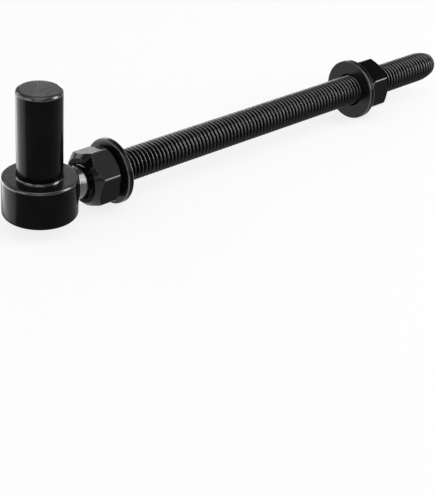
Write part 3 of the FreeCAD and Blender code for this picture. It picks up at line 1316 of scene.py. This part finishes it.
    def soften_scallops(self, nut: Piece) -> None:
        """Rounds the edges between the cones and the flats, and the rims of both end faces.

        Args:
            nut: The nut, in edit mode.
        """
        bpy.ops.mesh.select_mode(type="EDGE")
        bpy.ops.mesh.select_all(action="DESELECT")
        mesh = bmesh.from_edit_mesh(nut.data)
        for edge in mesh.edges:
            if len(edge.link_faces) == 2:
                lean = [abs(face.normal.x) for face in edge.link_faces]
                if max(lean) - min(lean) > self.rim_bend:
                    edge.select = True
        mesh.select_flush_mode()
        bmesh.update_edit_mesh(nut.data)
        Bench.bevel(self.rim_round, 2)

    def washer(self) -> Piece:
        """Turns the inner washer with its rolled rims.

        Returns:
            The finished washer.
        """
        start = self.inner_nut_start + self.nut_height
        end = start + self.washer_thickness
        washer = Lathe.turn("washer", Axis.ROD, (
            (start, self.washer_bore), (start, self.washer_radius), (end, self.washer_radius),
            (end, self.washer_bore)), self.segments, hollow=True)
        for along in (start, end):
            Bench.round_edges(washer, Lathe.ring_at(Axis.ROD, along, self.washer_radius), self.rolled_rim, 5)
            Bench.round_edges(washer, Lathe.ring_at(Axis.ROD, along, self.washer_bore), self.bore_round, 3)
        Bench.shut()
        Bench.finish(washer)
        return washer


@dataclass(frozen=True)
class Lamp:
    """A soft rectangular lamp that looks at the hinge. Its place and its size are angles seen from there.

    Its left is counted from the camera's side, its distance is in metres, and a level of 1 is white."""

    name: str
    left: float
    rise: float
    width: float
    height: float
    level: float
    distance: float = 0.8
    aim: tuple[float, float, float] = (60.0, 0.0, 0.0)
    camera_side: tuple[float, float] = (-0.7, -0.714)

    def hang(self) -> None:
        """Hangs the lamp."""
        turn = math.atan2(self.camera_side[1], self.camera_side[0]) - math.radians(self.left)
        lift = math.radians(self.rise)
        way = Vector((math.cos(lift) * math.cos(turn), math.cos(lift) * math.sin(turn), math.sin(lift)))
        size = [2 * self.distance * math.tan(math.radians(angle) / 2) for angle in (self.width, self.height)]
        lamp = Lamp.panel(self.name, size, self.level)
        lamp.location = Vector(self.aim) * MM + way * self.distance
        lamp.rotation_euler = (-way).to_track_quat("-Z", "Y").to_euler()

    @staticmethod
    def panel(name: str, size: Sequence[float], level: float) -> Piece:
        """Makes a rectangular lamp.

        Args:
            name: The lamp's name.
            size: Its width and height in metres.
            level: How bright its face is, where 1 is white.

        Returns:
            The lamp, at the origin.
        """
        data = bpy.data.lights.new(name, "AREA")
        data.shape = "RECTANGLE"
        data.size, data.size_y = size
        data.energy = level * math.pi * size[0] * size[1]
        lamp = bpy.data.objects.new(name, data)
        bpy.context.scene.collection.objects.link(lamp)
        return lamp


@dataclass
class Studio:
    """The pale floor, the soft lamps, the plain surroundings and the camera."""

    floor_level: float = -19.27
    floor_size: float = 8000.0
    floor_grey: float = 0.9
    floor_white_share: float = 0.8
    ambient: float = 0.3
    panel_level: float = 4.4
    panel_size: tuple[float, float] = (121.0, 120.0)
    panel_along: tuple[float, float, float] = (-0.937, 0.349, 0.0)
    panel_across: tuple[float, float, float] = (0.349, 0.937, 0.0)
    panel_place: tuple[float, float, float] = (80.5, 53.0, 0.4)
    sight: tuple[float, float, float] = (-253.8965, -347.9459, 219.4579)
    right: tuple[float, float, float] = (0.73572658, -0.67480132, 0.05787547)
    up: tuple[float, float, float] = (0.29861197, 0.39989397, 0.86655393)
    lens: float = 102.41
    shift: tuple[float, float] = (-0.0016, 0.0019)
    lamps: tuple[Lamp, ...] = (
        Lamp("left_front_lamp", 45.0, 10.0, 30.0, 18.0, 3.0),
        Lamp("left_lamp", 85.0, 16.0, 30.0, 24.0, 1.5),
        Lamp("left_back_lamp", 116.0, 16.0, 18.0, 36.0, 2.0),
        Lamp("low_back_lamp", 172.0, 6.0, 26.0, 14.0, 5.5, 0.9),
        Lamp("back_lamp", 182.0, 30.0, 40.0, 28.0, 0.5, 0.9),
        Lamp("right_lamp", -91.0, 20.0, 25.0, 34.0, 6.5),
        Lamp("high_right_lamp", -99.0, 46.0, 24.0, 16.0, 5.0),
        Lamp("front_lamp", 0.0, 14.0, 26.0, 10.0, 3.0),
        Lamp("high_front_lamp", 0.0, 62.0, 30.0, 24.0, 1.5),
        Lamp("high_left_lamp", 55.0, 45.0, 34.0, 24.0, 1.0),
        Lamp("top_lamp", 0.0, 88.0, 40.0, 40.0, 0.8))

    def build(self) -> None:
        """Sets up the whole studio."""
        self.camera()
        self.floor()
        self.world()
        for lamp in self.lamps:
            lamp.hang()
        self.floor_panel()

    def floor_panel(self) -> None:
        """Lays a soft panel on the floor, left of the picture, for the light strips on the round walls."""
        along, across = Vector(self.panel_along), Vector(self.panel_across)
        out, aside, lift = self.panel_place
        panel = Lamp.panel("floor_panel", [side * MM for side in self.panel_size], self.panel_level)
        panel.location = (along * out + across * aside + Vector((0.0, 0.0, self.floor_level + lift))) * MM
        panel.rotation_euler = (math.pi, 0.0, math.atan2(along.y, along.x))
        panel.visible_camera = False

    def camera(self) -> None:
        """Stands the camera where the photograph was taken from."""
        data = bpy.data.cameras.new("camera")
        data.lens = self.lens
        data.sensor_width = 36.0
        data.sensor_fit = "AUTO"
        data.shift_x, data.shift_y = self.shift
        data.clip_start = 0.01
        camera = bpy.data.objects.new("camera", data)
        bpy.context.scene.collection.objects.link(camera)
        right, up = Vector(self.right), Vector(self.up)
        away = right.cross(up)
        turn = Matrix((right, up, away)).transposed().to_4x4()
        camera.matrix_world = Matrix.Translation(Vector(self.sight) * MM) @ turn
        bpy.context.scene.camera = camera

    def floor(self) -> None:
        """Lays the pale floor under the washers."""
        Bench.clear()
        bpy.ops.mesh.primitive_plane_add(size=self.floor_size * MM,
                                         location=(0.0, 0.0, self.floor_level * MM))
        floor = Bench.name(bpy.context.object, "pale_floor")
        material = bpy.data.materials.new("pale_floor")
        material.use_nodes = True
        tree = material.node_tree
        tree.nodes.clear()
        matt = tree.nodes.new("ShaderNodeBsdfDiffuse")
        matt.inputs["Color"].default_value = (self.floor_grey, self.floor_grey, self.floor_grey, 1.0)
        glow = tree.nodes.new("ShaderNodeEmission")
        glow.inputs["Color"].default_value = (1.0, 1.0, 1.0, 1.0)
        glow.inputs["Strength"].default_value = 1.0
        mix = tree.nodes.new("ShaderNodeMixShader")
        share = NodeDesk.math(tree, "MULTIPLY", self.seen(tree), self.floor_white_share)
        tree.links.new(share, mix.inputs[0])
        tree.links.new(matt.outputs[0], mix.inputs[1])
        tree.links.new(glow.outputs[0], mix.inputs[2])
        tree.links.new(mix.outputs[0], tree.nodes.new("ShaderNodeOutputMaterial").inputs["Surface"])
        floor.data.materials.append(material)

    @staticmethod
    def seen(tree: Tree) -> Socket:
        """A value of 1 for camera, glossy and transmission rays.

        Args:
            tree: The node tree.

        Returns:
            The value.
        """
        path = tree.nodes.new("ShaderNodeLightPath")
        either = NodeDesk.math(tree, "MAXIMUM", path.outputs["Is Camera Ray"], path.outputs["Is Glossy Ray"])
        return NodeDesk.math(tree, "MAXIMUM", either, path.outputs["Is Transmission Ray"])

    def world(self) -> None:
        """Makes the plain pale surroundings."""
        world = bpy.data.worlds.new("surroundings")
        bpy.context.scene.world = world
        world.use_nodes = True
        sky = next(node for node in world.node_tree.nodes if node.type == "BACKGROUND")
        sky.inputs["Color"].default_value = (1.0, 1.0, 1.0, 1.0)
        sky.inputs["Strength"].default_value = self.ambient


def main() -> None:
    """Builds the hinge and the studio in order."""
    bpy.context.scene.view_settings.view_transform = "Standard"
    finishes = Finishes()
    thread = Thread()
    built: list[Piece] = []
    for part in (PinAndCollar(finishes), ThreadedRod(finishes, thread), ClampSet(finishes, thread)):
        pieces = part.build()
        log.info("%s: %s", type(part).__name__, ", ".join(piece.name for piece in pieces))
        built += pieces
    Studio().build()
    log.info("hinge built in %d pieces", len(built))


if __name__ == "__main__":
    main()
